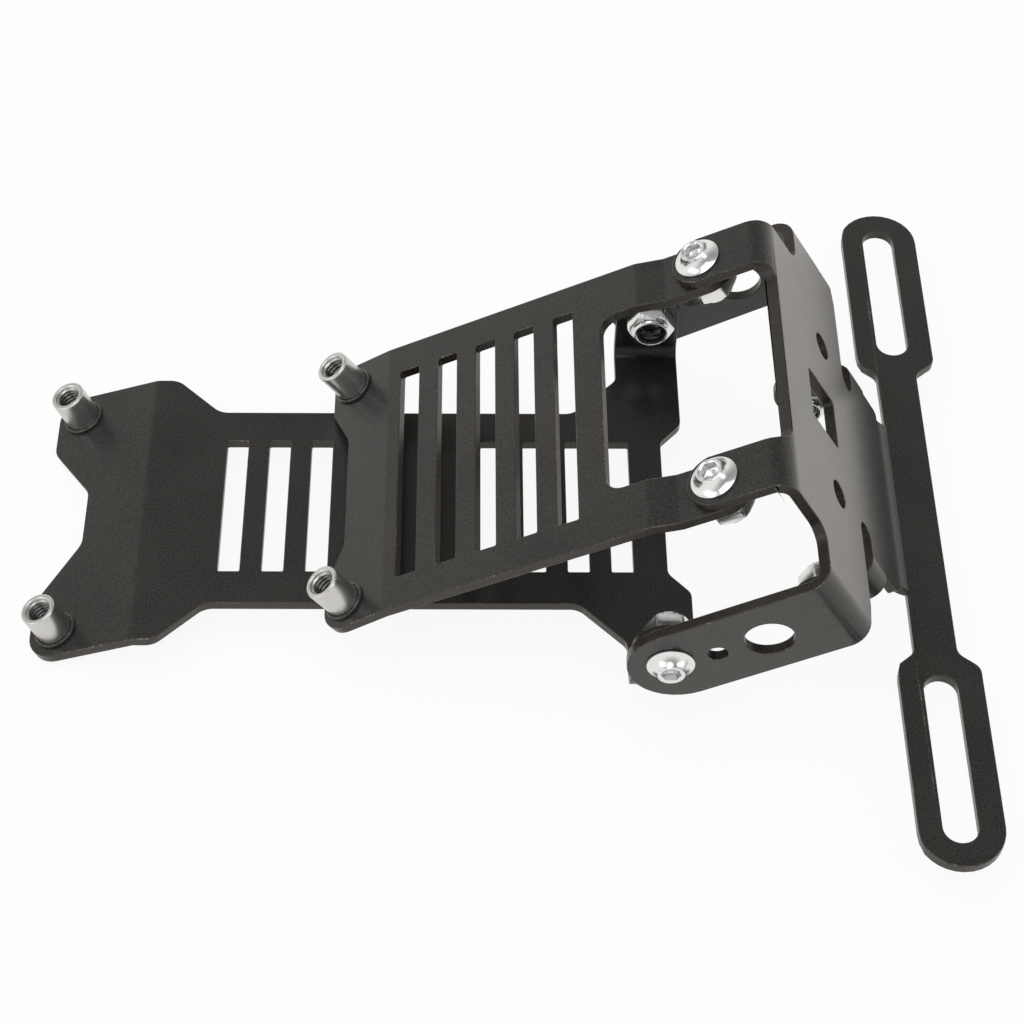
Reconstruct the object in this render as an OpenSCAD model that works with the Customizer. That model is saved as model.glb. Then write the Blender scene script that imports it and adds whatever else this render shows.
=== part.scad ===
// Tail tidy for a motorcycle: a slotted lower plate, a slotted upper plate
// standing over it, and a folded bracket with a bar for the number plate.
// All sheet parts share one thickness. Lengths are in millimetres.
// X runs towards the bar, Y is across (the part is symmetric), Z is up.
// Heights count from the top of the lower plate, level with the bar.

/* [Sheet] */
// thickness of all three folded sheets
sheet_t = 2.5; // [2:0.1:3]
// outside radius of the tight ninety degree folds
fold_r = 5; // [4.5:0.1:6]

/* [Lower plate] */
// half width of the narrow middle of the lower plate
waist_half = 28.2; // [26:0.1:30]
// half width of the wide left end of the lower plate
lower_end_half = 38.3; // [37:0.1:40]
// where the left end of the lower plate bends down
lower_bend_x = -20.6; // [-22:0.1:-19]
// how far the left end bends down, in degrees
lower_bend_angle = 19.5; // [15:0.5:23]
// length of the bent end of the lower plate
lower_tab_len = 25.8; // [25:0.1:27]
// depth of the plain middle of that bent end
lower_tab_mid = 15.4; // [13:0.1:17]
// half width of the slots of the lower plate
lower_slot_half = 19.2; // [15:0.1:21]
// width of every ladder slot
slot_w = 5; // [4:0.1:6]
// distance from one ladder slot to the next
slot_pitch = 10; // [9.5:0.1:10.5]
// near edge of the ears that stand up at the right end
ear_x0 = 90.3; // [89:0.1:91]
// width of those ears, along the part
ear_w = 15.1; // [14.5:0.1:16]
// outside face of those ears, from the middle
ear_out = 50.7; // [49:0.1:52]

/* [Pivot] */
// position of the pivot screws along the part
pivot_x = 98.4; // [97:0.1:99]
// height of the pivot screws
pivot_z = 12.8; // [12:0.1:14]

/* [Upper plate] */
// where the main panel of the upper plate starts
upper_x = 35.75; // [35:0.05:37]
// height of that start
upper_z = 11.2; // [11.15:0.05:12]
// slope of the main panel, in degrees
upper_angle = 27.8; // [27.4:0.1:28.2]
// slope of the bent left end, in degrees
upper_tab_angle = 34.2; // [32:0.1:34.2]
// half width of the upper plate
upper_half = 38.4; // [38:0.1:39]
// length of the bent left end
upper_tab_len = 16; // [15.5:0.1:16]
// depth of the plain middle of that bent end
upper_tab_mid = 11.3; // [9:0.1:12]
// half length of the slots of the upper plate
upper_slot_half = 30.15; // [28:0.05:31]
// centre of the first slot from the start of the panel
upper_slot_start = 5.65; // [5.5:0.05:6.5]
// where the opening between the two arms begins
opening_s = 54.8; // [53:0.1:57]
// half width of the opening between the arms
opening_half = 25.2; // [24:0.1:25.4]
// where the arms step down
step_s = 64.3; // [63:0.1:66]
// how far the arms step down
step_h = 1.5; // [1:0.1:2]

/* [Bracket] */
// corner of the bracket where tab and face planes meet, along the part
face_x = 120.08; // [119.5:0.02:120.6]
// height of that corner
face_z = 58.81; // [58.3:0.01:59.3]
// slope of the face, in degrees below level
face_angle = 60.34; // [59.8:0.02:60.9]
// lower edge of the wide part of the face
face_len = 43.3; // [42.5:0.1:44]
// upper edge of the face between the tabs
face_top = 5.6; // [5.2:0.1:7]
// outside face of the side cheeks, from the middle
cheek_out = 53.2; // [52:0.1:54]
// upper edge of the side cheeks
cheek_top = 19.8; // [19:0.1:20.5]
// lower edge of the side cheeks
cheek_end = 42.4; // [42:0.1:43]
// rear end of the side cheeks
cheek_back = 51.8; // [51:0.1:53]
// half width of the window in the face
window_half = 6.83; // [5:0.01:8]
// upper edge of the window
window_w0 = 20; // [19:0.1:21]
// lower edge of the window
window_w1 = 34; // [32:0.1:35]
// diameter of the two holes beside the window
face_hole_d = 6.5; // [5:0.1:7]
// distance of those holes from the middle
face_hole_y = 21.6; // [20:0.1:23]
// distance of those holes down the face
face_hole_w = 31.1; // [29:0.1:33]
// diameter of the indicator hole in each cheek
lamp_hole_d = 11; // [9:0.1:12]
// diameter of the small hole in each cheek
small_hole_d = 4.5; // [3:0.1:5]

/* [Tongue and bar] */
// half width of the neck under the face
neck_half = 19.8; // [18:0.1:21]
// start of the wide part of the tongue
tongue_w = 48.9; // [48.5:0.1:50]
// width of the small ears of the tongue, down the face
tongue_ear_h = 8.3; // [7.5:0.1:9]
// outside face of the small ears, from the middle
tongue_out = 31.7; // [31:0.1:32.5]
// middle line of the bar
bar_x = 159.05; // [158.8:0.05:159.3]
// half width of the rings of the bar
ring_half = 9.6; // [9:0.1:10]
// half width of the bar between its rings
bar_neck_half = 4.83; // [4:0.01:6]
// half length of the whole bar
bar_half = 95.65; // [94:0.05:97]
// half width of the slots of the bar
bar_slot_half = 3.84; // [3.2:0.02:4.2]
// inner end of the slots of the bar
bar_slot_y0 = 47.5; // [46:0.1:49]
// outer end of the slots of the bar
bar_slot_y1 = 89.9; // [88.5:0.1:90.3]
// inner radius of the bend between tongue and bar
bar_bend_r = 6; // [5:0.1:7]

/* [Fasteners] */
// screw diameter
screw_d = 6; // [5.6:0.1:6]
// how much wider the screw holes are than the screws
screw_gap = 0.4; // [0.3:0.05:0.8]
// diameter of the button heads
head_d = 10.5; // [10:0.1:11]
// height of the button heads
head_h = 3.3; // [3:0.1:3.6]
// width of the hexagon socket in the heads
socket_af = 4; // [3.5:0.1:4.5]
// width of the nuts across flats
nut_af = 10; // [9.8:0.1:10.4]
// height of the nuts with their collar
nut_h = 6; // [5.6:0.1:6.4]
// how much wider the nut bores are than the screws
thread_gap = 0.1; // [0.06:0.02:0.2]

/* [Standoffs] */
// outside diameter of the standoffs
stand_d = 8.2; // [8:0.1:8.6]
// length of the standoffs above the sheet
stand_len = 9; // [8:0.1:10]
// diameter of the thread bore of the standoffs
stand_bore = 5; // [4.8:0.1:5.2]
// diameter of the foot pressed through the sheet
foot_d = 7; // [6.6:0.1:7.4]
// room around the pressed foot and under the ring
press_gap = 0.04; // [0.02:0.01:0.08]
// outside diameter of the ring round each standoff
ring_d = 9.8; // [9.4:0.1:10.4]
// height of the ring round each standoff
ring_h = 0.8; // [0.5:0.1:1.2]
// distance of the lower standoffs from the bend
lower_stand_s = 19.2; // [18.5:0.1:19.6]
// distance of the lower standoffs from the middle
lower_stand_y = 31.5; // [31:0.1:32]
// distance of the upper standoffs from the bend
upper_stand_s = 10.3; // [10:0.1:10.4]
// distance of the upper standoffs from the middle
upper_stand_y = 31.7; // [31.2:0.1:32]

/* [Hidden] */
$fn = 48;
eps = 0.01;
ear_x1 = ear_x0 + ear_w;
// where the face plane meets the bar, down the face and along the part
bar_w = face_z / sin(face_angle);
bend_x = face_x + face_z / tan(face_angle);
// screws through tab and arm
tab_screw_s = 80.2;
tab_y = 31.75;
tab_half = 6.5;
arm_half = (upper_half - opening_half) / 2;
tab_top_h = sheet_t - step_h;
// screws through the small ears of the tongue
ear_screw_back = 13.6;
tongue_ear_w = tongue_w + tongue_ear_h;
ear_screw_w = tongue_w + tongue_ear_h / 2 + 0.15;
ear_round = 7;
pivot_screw_len = 10;
tab_screw_len = 10;
ear_screw_len = 8;
collar_h = 1.4;
insert_h = 1.1;
hole_d = screw_d + screw_gap;
steps = 8;

// the frame's origin is the middle of the number plate slots, on the bar
module place() {
  translate([-bar_x, 0, 0])
    children();
}

// which sub-part to draw

// unit vector from one point to another
function unit(a, b) = (b - a) / norm(b - a);

// points of one rounded corner: b is the corner, a and c its neighbours
function corner(a, b, c, r) =
  let (
    u = unit(b, a),
    v = unit(b, c),
    half = acos(max(-1, min(1, u * v))) / 2,
    t = r / tan(half),
    m = b + unit([0, 0], u + v) * (r / sin(half)),
    p = b + u * t,
    q = b + v * t,
    a0 = atan2(p[1] - m[1], p[0] - m[0]),
    a1 = atan2(q[1] - m[1], q[0] - m[0]),
    turn = a1 - a0 > 180 ? a1 - a0 - 360 : (a1 - a0 < -180 ? a1 - a0 + 360 : a1 - a0)
  )
  [for (i = [0 : steps]) m + r * [cos(a0 + turn * i / steps), sin(a0 + turn * i / steps)]];

// outline with rounded corners; every point is [x, y, radius]
function rounded(p) =
  let (n = len(p))
  [
    for (i = [0 : n - 1])
      let (
        a = [p[(i + n - 1) % n][0], p[(i + n - 1) % n][1]],
        b = [p[i][0], p[i][1]],
        c = [p[(i + 1) % n][0], p[(i + 1) % n][1]]
      )
      each (p[i][2] > 0 ? corner(a, b, c, p[i][2]) : [b])
  ];

// the same outline with its mirror image below the x axis
function both_sides(p) =
  concat(p, [for (i = [len(p) - 1 : -1 : 0]) [p[i][0], -p[i][1], p[i][2]]]);

// crossing point of two lines, each given by a point and a direction
function meet(p, d, q, e) =
  p + d * (((q[0] - p[0]) * e[1] - (q[1] - p[1]) * e[0]) / (d[0] * e[1] - d[1] * e[0]));

// directions along and out of the upper plate and the bracket face, in x and z
along_up = [cos(upper_angle), sin(upper_angle)];
out_up = [-sin(upper_angle), cos(upper_angle)];
down_face = [cos(face_angle), -sin(face_angle)];
out_face = [sin(face_angle), cos(face_angle)];
function on_up(s, h) = [upper_x, upper_z] + along_up * s + out_up * h;
function on_face(w, d) = [face_x, face_z] + down_face * w + out_face * d;

// place things in the frames of the bent panels
module at_lower_tab() {
  translate([lower_bend_x, 0, 0])
    rotate([0, -lower_bend_angle, 0])
      children();
}

module at_upper() {
  translate([upper_x, 0, upper_z])
    rotate([0, -upper_angle, 0])
      children();
}

module at_upper_tab() {
  translate([upper_x, 0, upper_z])
    rotate([0, -upper_tab_angle, 0])
      children();
}

// x runs down the face, z points out of it
module at_face() {
  translate([face_x, 0, face_z])
    rotate([0, face_angle, 0])
      children();
}

// a side profile drawn in x and z, made as wide as asked
module profile(points, half) {
  translate([0, half, 0])
    rotate([90, 0, 0])
      linear_extrude(height = 2 * half)
        polygon(rounded(points));
}

// a flat panel outline pushed through a range of heights
module panel(points, z0, z1) {
  translate([0, 0, z0])
    linear_extrude(height = z1 - z0)
      polygon(rounded(points));
}

module slot(x, half, w) {
  panel(both_sides([[x - w / 2, half, 0.4], [x + w / 2, half, 0.4]]), -9, 9);
}

module hole(d) {
  translate([0, 0, -9])
    cylinder(d = d, h = 18);
}

module pair(y) {
  translate([0, y, 0])
    children();
  translate([0, -y, 0])
    children();
}

// lower plate
lower_side = [
  [lower_bend_x - 40 * cos(lower_bend_angle), -40 * sin(lower_bend_angle), 0],
  [lower_bend_x, 0, 5],
  [130, 0, 0],
  [130, -sheet_t, 0],
  [lower_bend_x + sheet_t * tan(lower_bend_angle / 2), -sheet_t, 2.5],
  [
    lower_bend_x - 40 * cos(lower_bend_angle) + sheet_t * sin(lower_bend_angle),
    -40 * sin(lower_bend_angle) - sheet_t * cos(lower_bend_angle),
    0
  ]
];

// flares at both ends of the waist, and the shallow notch between the ears
flare_left = 5;
flare_right = 10.7;
notch_half = 25;
notch_depth = 5.1;
lower_outline = both_sides([
  [lower_bend_x, lower_end_half, 0],
  [lower_bend_x + flare_left, lower_end_half, 5],
  [lower_bend_x + flare_left + lower_end_half - waist_half + 0.6, waist_half, 5],
  [ear_x0 - flare_right, waist_half, 4.5],
  [ear_x0, waist_half + flare_right, 3],
  [ear_x0, ear_out - fold_r, 0],
  [ear_x1, ear_out - fold_r, 0],
  [ear_x1, notch_half, 3],
  [ear_x1 - notch_depth, notch_half - 5.5, 3]
]);

lower_lobe = 16.2;
lower_dip_half = 7.6;
module lower_tab_panel() {
  half = lower_end_half;
  inner = half - lower_lobe;
  points = concat(
    [[0, half, 0], [0, -half, 0], [-lower_tab_len, -half, 6.5], [-lower_tab_len, -inner, 5]],
    [[-lower_tab_mid, -lower_dip_half, 5], [-lower_tab_mid, lower_dip_half, 5]],
    [[-lower_tab_len, inner, 5], [-lower_tab_len, half, 6.5]]
  );
  panel(points, -2 * fold_r, fold_r);
}

// one ear standing up at the right end, folded from the plate
module lower_ear() {
  width = ear_x1 - ear_x0;
  middle = (ear_x0 + ear_x1) / 2;
  translate([ear_x0, ear_out - fold_r, fold_r - sheet_t])
    rotate([0, 90, 0])
      rotate_extrude(angle = 90)
        translate([fold_r - sheet_t, 0])
          square([sheet_t, width]);
  difference() {
    translate([0, ear_out, 0])
      rotate([90, 0, 0])
        linear_extrude(height = sheet_t)
          polygon(rounded([
            [ear_x0, fold_r - sheet_t, 0],
            [ear_x1, fold_r - sheet_t, 0],
            [ear_x1, pivot_z + width / 2, width / 2 - 0.01],
            [ear_x0, pivot_z + width / 2, width / 2 - 0.01]
          ]));
    translate([pivot_x, ear_out + 5, pivot_z])
      rotate([90, 0, 0])
        cylinder(d = hole_d, h = sheet_t + 10);
  }
}

module lower_plate() {
  color("#2b2b2b") {
    difference() {
      intersection() {
        profile(lower_side, ear_out + 10);
        union() {
          panel(lower_outline, -2 * fold_r, fold_r);
          at_lower_tab() lower_tab_panel();
        }
      }
      for (i = [0 : 3]) {
        slot(i * slot_pitch, lower_slot_half, slot_w);
        slot((i + 6) * slot_pitch, lower_slot_half, slot_w);
      }
      at_lower_tab()
        translate([-lower_stand_s, 0, 0])
          pair(lower_stand_y) hole(foot_d + press_gap);
    }
    lower_ear();
    mirror([0, 1, 0]) lower_ear();
  }
}

// upper plate, drawn in the frame of its main panel
tab_drop = upper_tab_angle - upper_angle;
step_len = step_h / tan(13);
upper_side = [
  [-30 * cos(tab_drop), -30 * sin(tab_drop), 0],
  [0, 0, 8],
  [step_s, 0, 3],
  [step_s + step_len, -step_h, 3],
  [100, -step_h, 0],
  [100, -step_h - sheet_t, 0],
  [step_s + step_len - sheet_t * tan(6.5), -step_h - sheet_t, 3],
  [step_s - sheet_t * tan(6.5), -sheet_t, 3],
  [sheet_t * tan(tab_drop / 2), -sheet_t, 5],
  [-30 * cos(tab_drop) + sheet_t * sin(tab_drop), -30 * sin(tab_drop) - sheet_t * cos(tab_drop), 0]
];

arm_end_s = tab_screw_s + 0.4 + arm_half;
upper_outline = [
  [0, upper_half, 0],
  [arm_end_s, upper_half, arm_half - 0.02],
  [arm_end_s, opening_half, arm_half - 0.02],
  [opening_s, opening_half, 4],
  [opening_s, -opening_half, 4],
  [arm_end_s, -opening_half, arm_half - 0.02],
  [arm_end_s, -upper_half, arm_half - 0.02],
  [0, -upper_half, 0]
];

upper_lobe = 13.4;
upper_dip_half = 15.5;
module upper_tab_panel() {
  half = upper_half;
  inner = half - upper_lobe;
  points = concat(
    [[0, half, 0], [0, -half, 0], [-upper_tab_len, -half, 5.5], [-upper_tab_len, -inner, 4.5]],
    [[-upper_tab_mid, -upper_dip_half, 5], [-upper_tab_mid, upper_dip_half, 5]],
    [[-upper_tab_len, inner, 4.5], [-upper_tab_len, half, 5.5]]
  );
  panel(points, -2 * fold_r, fold_r);
}

module upper_plate() {
  color("#2b2b2b")
    difference() {
      intersection() {
        at_upper() profile(upper_side, upper_half + 10);
        union() {
          at_upper() panel(upper_outline, -2 * fold_r, fold_r);
          at_upper_tab() upper_tab_panel();
        }
      }
      at_upper()
        for (i = [0 : 4])
          slot(upper_slot_start + i * slot_pitch, upper_slot_half, slot_w);
      at_upper()
        translate([tab_screw_s, 0, 0])
          pair(tab_y) hole(hole_d);
      at_upper_tab()
        translate([-upper_stand_s, 0, 0])
          pair(upper_stand_y) hole(foot_d + press_gap);
    }
}

// bracket, its side profile runs tab, face, tongue and bar
bracket_side = [
  concat(on_up(60, tab_top_h), 0),
  concat(meet(on_up(0, tab_top_h), along_up, on_face(0, 0), down_face), fold_r),
  concat(meet(on_face(0, 0), down_face, [0, 0], [1, 0]), bar_bend_r),
  [bar_x + 30, 0, 0],
  [bar_x + 30, -sheet_t, 0],
  concat(meet(on_face(0, -sheet_t), down_face, [0, -sheet_t], [1, 0]), bar_bend_r + sheet_t),
  concat(
    meet(on_up(0, tab_top_h - sheet_t), along_up, on_face(0, -sheet_t), down_face),
    fold_r - sheet_t
  ),
  concat(on_up(60, tab_top_h - sheet_t), 0)
];

tab_start = tab_screw_s - tab_half;
bracket_tab = [
  [tab_start, tab_y - tab_half, tab_half - 0.02],
  [tab_start, tab_y + tab_half, tab_half - 0.02],
  [104, tab_y + tab_half, 0],
  [104, tab_y - tab_half, 0]
];

// face and tongue, x down the face
shoulder = tab_y + tab_half;
module face_panel() {
  panel(
    [
      [face_top, 0, 0],
      [face_top, shoulder - 2 * tab_half, 4],
      [-4, shoulder - 2 * tab_half, 0],
      [-4, shoulder, 0],
      [cheek_top, shoulder + 0.6, 4],
      [cheek_top, cheek_out - fold_r, 0],
      [cheek_end, cheek_out - fold_r, 0],
      [face_len, 44, 2],
      [face_len, 0, 0]
    ],
    -4, 4
  );
}

// the tongue keeps rounded relief slots under the face
tongue_half = tongue_out - fold_r;
tongue_end = bar_w - 2.88;
module tongue_panel() {
  relief = (tongue_w - face_len) / 2;
  difference() {
    panel(
      [
        [face_len - 1, 0, 0],
        [face_len - 1, tongue_half, 0],
        [tongue_end, tongue_half, 1.5],
        [tongue_end, 0, 0]
      ],
      -4, 4
    );
    panel(
      [
        [face_len, neck_half, relief - 0.02],
        [tongue_w, neck_half, relief - 0.02],
        [tongue_w, 60, 0],
        [face_len, 60, 0]
      ],
      -5, 5
    );
  }
}

// the bend between tongue and bar, only as wide as the joint
joint_half = 24.4;
module joint_panel() {
  w0 = bar_w - 7.5;
  w1 = bar_w + 8.5;
  panel([[w0, -joint_half, 0], [w0, joint_half, 0], [w1, joint_half, 0], [w1, -joint_half, 0]], -9, 5);
}

// half of the bar, seen from above
bar_neck_l = bar_x - bar_neck_half;
bar_neck_r = bar_x + bar_neck_half;
bar_l = bar_x - ring_half;
bar_r = bar_x + ring_half;
module bar_half_panel() {
  difference() {
    panel(
      [
        [bar_neck_r, -1, 0],
        [bar_neck_r, bar_slot_y0 - 6.1, 3],
        [bar_r, bar_slot_y0 - 2.3, 3],
        [bar_r, bar_half, ring_half - 0.02],
        [bar_l, bar_half, ring_half - 0.02],
        [bar_l, bar_slot_y0 - 2.3, 3],
        [bar_neck_l, bar_slot_y0 - 6.3, 3],
        [bar_neck_l, joint_half - 1.6, 1.2],
        [bend_x - 0.9, joint_half - 1.6, 0],
        [bend_x - 0.9, -1, 0]
      ],
      -6, 0.5
    );
    translate([bar_x, bar_slot_y0 + bar_slot_half, 0])
      hole(2 * bar_slot_half);
    translate([bar_x, bar_slot_y1 - bar_slot_half, 0])
      hole(2 * bar_slot_half);
    translate([bar_x - bar_slot_half, bar_slot_y0 + bar_slot_half, -9])
      cube([2 * bar_slot_half, bar_slot_y1 - bar_slot_y0 - 2 * bar_slot_half, 18]);
  }
}

// a quarter round fold along the face, and the flat cheek behind it
module fold_back(w0, w1, out) {
  translate([w0, out - fold_r, -fold_r])
    rotate([90, 0, 90])
      rotate_extrude(angle = 90)
        translate([fold_r - sheet_t, 0])
          square([sheet_t, w1 - w0]);
}

// flat sheet standing back from the face, outline given as [w, back, radius]
module standing(points, out) {
  translate([0, out, 0])
    rotate([90, 0, 0])
      linear_extrude(height = sheet_t)
        polygon(rounded([for (p = points) [p[0], -p[1], p[2]]]));
}

cheek_round = (cheek_end - cheek_top) / 2;
pivot_back = -((pivot_x - face_x) * out_face[0] + (pivot_z - face_z) * out_face[1]);
pivot_w = (pivot_x - face_x) * down_face[0] + (pivot_z - face_z) * down_face[1];

module cheek_hole(w, back, d) {
  translate([w, cheek_out + 5, -back])
    rotate([90, 0, 0])
      cylinder(d = d, h = sheet_t + 10);
}

module cheek() {
  fold_back(cheek_top, cheek_end, cheek_out);
  difference() {
    standing(
      [
        [cheek_top, fold_r, 0],
        [cheek_end, fold_r, 0],
        [cheek_end, cheek_back, cheek_round - 0.02],
        [cheek_top, cheek_back, cheek_round - 0.02]
      ],
      cheek_out
    );
    cheek_hole(pivot_w, pivot_back, hole_d);
    cheek_hole(31.1, 31.3, small_hole_d);
    cheek_hole(31.5, 19.3, lamp_hole_d);
  }
}

module tongue_ear() {
  fold_back(tongue_w, tongue_ear_w, tongue_out);
  difference() {
    union() {
      standing(
        [
          [tongue_w, fold_r, 0],
          [tongue_ear_w, fold_r, 0],
          [tongue_ear_w, ear_screw_back, 0],
          [tongue_w, ear_screw_back, 0]
        ],
        tongue_out
      );
      translate([ear_screw_w, tongue_out, -ear_screw_back])
        rotate([90, 0, 0])
          cylinder(r = ear_round, h = sheet_t);
    }
    translate([ear_screw_w, tongue_out + 5, -ear_screw_back])
      rotate([90, 0, 0])
        cylinder(d = hole_d, h = sheet_t + 10);
  }
}

module bracket() {
  color("#2b2b2b") {
    difference() {
      intersection() {
        profile(bracket_side, bar_half + 10);
        union() {
          at_upper() panel(bracket_tab, -3 * fold_r, fold_r);
          at_upper() mirror([0, 1, 0]) panel(bracket_tab, -3 * fold_r, fold_r);
          at_face() {
            face_panel();
            mirror([0, 1, 0]) face_panel();
            tongue_panel();
            mirror([0, 1, 0]) tongue_panel();
            joint_panel();
          }
          bar_half_panel();
          mirror([0, 1, 0]) bar_half_panel();
        }
      }
      at_upper()
        translate([tab_screw_s, 0, 0])
          pair(tab_y)
            translate([0, 0, tab_top_h - sheet_t - 1])
              cylinder(d = hole_d, h = sheet_t + 2);
      at_face() {
        panel(
          both_sides([[window_w0, window_half, 1], [window_w1, window_half, 1]]),
          -9, 9
        );
        translate([face_hole_w, 0, 0])
          pair(face_hole_y) hole(face_hole_d);
      }
    }
    at_face() {
      cheek();
      tongue_ear();
      mirror([0, 1, 0]) {
        cheek();
        tongue_ear();
      }
    }
  }
}

// standoff: threaded tube with a foot pressed through the sheet
module standoff() {
  mouth = 0.6;
  color("#c8c8c8")
    rotate_extrude()
      polygon([
        [stand_bore / 2, -sheet_t],
        [foot_d / 2, -sheet_t],
        [foot_d / 2, 0],
        [stand_d / 2, 0],
        [stand_d / 2, stand_len - 0.3],
        [stand_d / 2 - 0.3, stand_len],
        [stand_bore / 2 + mouth, stand_len],
        [stand_bore / 2, stand_len - mouth]
      ]);
}

module base_ring() {
  color("#1c1c1c")
    rotate_extrude()
      polygon([
        [stand_d / 2 + press_gap / 2, 0],
        [ring_d / 2, 0],
        [ring_d / 2, ring_h - 0.3],
        [ring_d / 2 - 0.3, ring_h],
        [stand_d / 2 + press_gap / 2, ring_h]
      ]);
}

// button head screw, head above zero, shank below
module screw(len) {
  r = head_d / 2;
  color("#d0d0d0")
    difference() {
      union() {
        rotate_extrude()
          polygon([
            [0, 0],
            [r - 0.15, 0],
            [r, 0.35],
            [r - 0.15, 0.95],
            [r - 0.6, 1.7],
            [r - 1.2, 2.4],
            [r - 1.95, 2.95],
            [r - 2.5, head_h],
            [0, head_h]
          ]);
        translate([0, 0, -len + 0.6])
          cylinder(d = screw_d, h = len - 0.6 + eps);
        translate([0, 0, -len])
          cylinder(d1 = screw_d - 1.2, d2 = screw_d, h = 0.6 + eps);
      }
      translate([0, 0, head_h - 2.1])
        cylinder(d = socket_af / cos(30), h = 3, $fn = 6);
    }
}

// locking nut, seated on zero and pointing up, room for a nylon ring
module nut() {
  hex_h = nut_h - collar_h;
  corner_r = nut_af / 2 / cos(30);
  color("#c4c4c4")
    difference() {
      union() {
        intersection() {
          cylinder(r = corner_r, h = hex_h, $fn = 6);
          rotate_extrude()
            polygon([
              [0, 0],
              [nut_af / 2 - 0.1, 0],
              [corner_r + 0.01, 0.4],
              [corner_r + 0.01, hex_h - 0.45],
              [nut_af / 2 - 0.15, hex_h],
              [0, hex_h]
            ]);
        }
        rotate_extrude()
          polygon([
            [0, hex_h - eps],
            [nut_af / 2 - 0.25, hex_h - eps],
            [nut_af / 2 - 0.6, nut_h - 0.5],
            [nut_af / 2 - 1.1, nut_h],
            [0, nut_h]
          ]);
      }
      translate([0, 0, -1])
        cylinder(d = screw_d + thread_gap, h = nut_h + 2);
      translate([0, 0, nut_h - 0.3 - insert_h])
        cylinder(d = nut_af - 2.9, h = insert_h + 1);
    }
}

module insert() {
  color("#202830")
    translate([0, 0, nut_h - 0.3 - insert_h])
      rotate_extrude()
        polygon([
          [screw_d / 2 + thread_gap / 2, 0],
          [(nut_af - 2.9) / 2 - press_gap / 2, 0],
          [(nut_af - 2.9) / 2 - press_gap / 2, insert_h],
          [screw_d / 2 + thread_gap / 2, insert_h]
        ]);
}

// seats of the fasteners; side is -1 for the near side and 1 for the far side
module at_lower_stand(side) {
  at_lower_tab()
    translate([-lower_stand_s, side * lower_stand_y, 0])
      children();
}

module at_upper_stand(side) {
  at_upper_tab()
    translate([-upper_stand_s, side * upper_stand_y, 0])
      children();
}

module on_tab(side) {
  at_upper()
    translate([tab_screw_s, side * tab_y, tab_top_h])
      children();
}

module under_arm(side) {
  at_upper()
    translate([tab_screw_s, side * tab_y, tab_top_h - 2 * sheet_t])
      rotate([180, 0, 0])
        children();
}

module outside_pivot(side) {
  translate([pivot_x, side * cheek_out, pivot_z])
    rotate([-side * 90, 0, 0])
      children();
}

module inside_pivot(side) {
  translate([pivot_x, side * (ear_out - sheet_t), pivot_z])
    rotate([side * 90, 0, 0])
      children();
}

module outside_ear(side) {
  at_face()
    translate([ear_screw_w, side * tongue_out, -ear_screw_back])
      rotate([-side * 90, 0, 0])
        children();
}

module inside_ear(side) {
  at_face()
    translate([ear_screw_w, side * (tongue_out - sheet_t), -ear_screw_back])
      rotate([side * 90, 0, 0])
        children();
}

place() lower_plate();
place() upper_plate();
place() bracket();
place() at_lower_stand(-1) standoff();  // lower_standoff_near
place() at_lower_stand(1) standoff();  // lower_standoff_far
place() at_upper_stand(-1) standoff();  // upper_standoff_near
place() at_upper_stand(1) standoff();  // upper_standoff_far
place() at_lower_stand(-1) base_ring();  // lower_ring_near
place() at_lower_stand(1) base_ring();  // lower_ring_far
place() at_upper_stand(-1) base_ring();  // upper_ring_near
place() at_upper_stand(1) base_ring();  // upper_ring_far
place() on_tab(-1) screw(tab_screw_len);  // tab_screw_near
place() on_tab(1) screw(tab_screw_len);  // tab_screw_far
place() under_arm(-1) nut();  // tab_nut_near
place() under_arm(1) nut();  // tab_nut_far
place() under_arm(-1) insert();  // tab_insert_near
place() under_arm(1) insert();  // tab_insert_far
place() outside_pivot(-1) screw(pivot_screw_len);  // pivot_screw_near
place() outside_pivot(1) screw(pivot_screw_len);  // pivot_screw_far
place() inside_pivot(-1) nut();  // pivot_nut_near
place() inside_pivot(1) nut();  // pivot_nut_far
place() inside_pivot(-1) insert();  // pivot_insert_near
place() inside_pivot(1) insert();  // pivot_insert_far
place() outside_ear(-1) screw(ear_screw_len);  // ear_screw_near
place() outside_ear(1) screw(ear_screw_len);  // ear_screw_far
place() inside_ear(-1) nut();  // ear_nut_near
place() inside_ear(1) nut();  // ear_nut_far
place() inside_ear(-1) insert();  // ear_insert_near
place() inside_ear(1) insert();  // ear_insert_far
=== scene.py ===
import math

import bmesh
import bpy
import numpy as np
from mathutils import Matrix, Vector
from mathutils.bvhtree import BVHTree


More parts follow.
